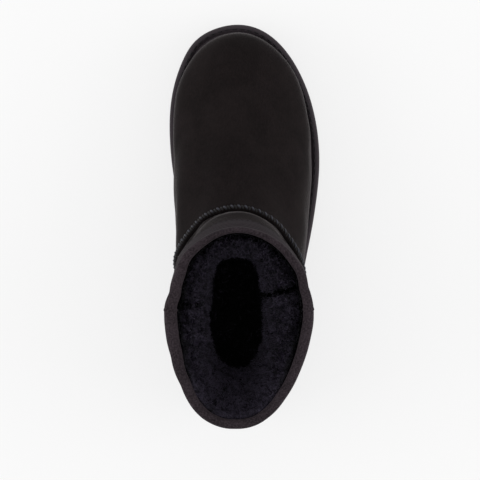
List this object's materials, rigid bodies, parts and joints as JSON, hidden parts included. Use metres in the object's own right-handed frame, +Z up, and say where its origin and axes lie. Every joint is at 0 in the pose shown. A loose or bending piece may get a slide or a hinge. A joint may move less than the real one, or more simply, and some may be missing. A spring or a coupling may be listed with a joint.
{
  "type": "sheepskin ankle boot",
  "caption": "Right pull-on ankle boot in black suede sheepskin, wool inside, with a moulded flat sole and a bound collar.",
  "frame": {"origin": "centre of the bounding box, on the floor that the sole rests on", "axes": "+Z up, the toe points along -Y, the lateral side faces -X and the medial side +X"},
  "size_m": [0.1036, 0.2686, 0.1526],
  "materials": {
    "sole_rubber": "matt moulded foam rubber, black",
    "wool": "curly black wool",
    "suede": "napped black suede",
    "counter_suede": "napped black suede",
    "binding": "ribbed black tape"
  },
  "bodies": {
    "root": {"outsole": "sole_rubber", "insole": "wool", "upper": "suede", "heel_counter": "counter_suede", "collar_binding": "binding"}
  },
  "joints": []
}
